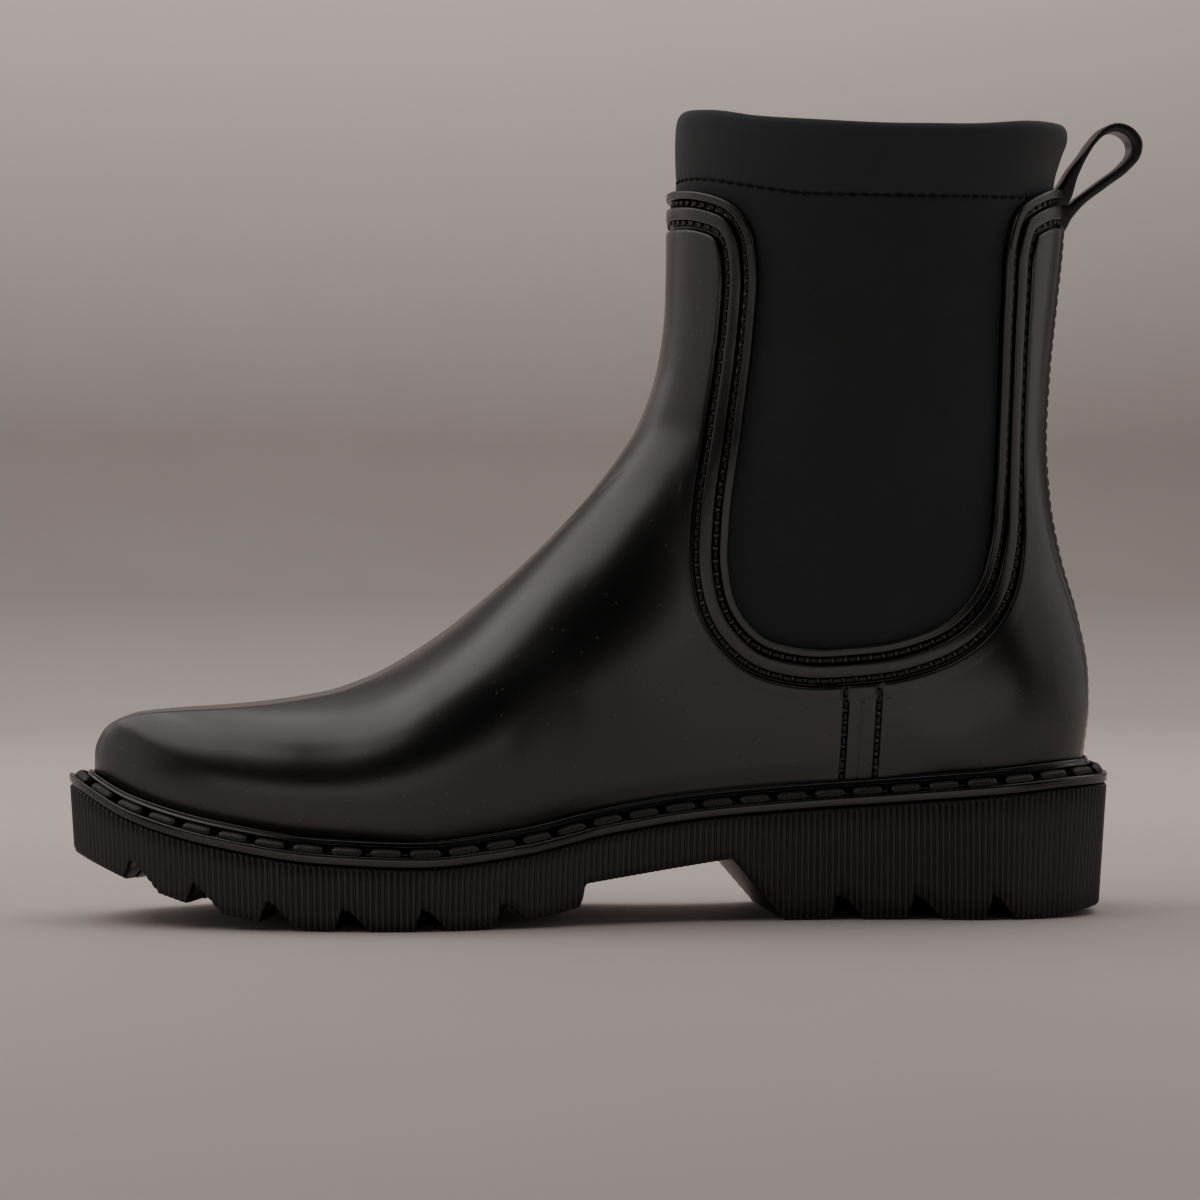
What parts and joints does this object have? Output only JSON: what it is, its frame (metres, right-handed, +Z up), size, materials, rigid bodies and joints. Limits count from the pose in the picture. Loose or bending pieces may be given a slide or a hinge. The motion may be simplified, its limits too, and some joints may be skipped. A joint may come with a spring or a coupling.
{
  "type": "rubber ankle boot",
  "caption": "Rubber ankle boot with a moulded shell, soft gores in side windows, a padded cuff, a pull loop and a lugged sole.",
  "frame": {"origin": "centre of the bounding box, on the floor that the sole stands on", "axes": "toe along -X, outer side of the foot along -Y, +Z up"},
  "size_m": [0.292, 0.0951, 0.216],
  "materials": {
    "sole_rubber": "matte",
    "welt_rubber": "satin",
    "foot_bed": "matte",
    "shell_rubber": "satin matte",
    "trim_rubber": "satin",
    "neoprene": "matte",
    "cuff_neoprene": "matte",
    "loop_rubber": "satin"
  },
  "bodies": {
    "root": {"outsole": "sole_rubber", "welt": "welt_rubber", "insole": "foot_bed", "upper": "shell_rubber", "edge_bead": "trim_rubber", "edge_band": "trim_rubber", "back_stay": "trim_rubber", "side_strap_outer": "trim_rubber", "side_strap_inner": "trim_rubber", "sock": "neoprene", "cuff": "cuff_neoprene", "pull_loop": "loop_rubber"}
  },
  "joints": []
}
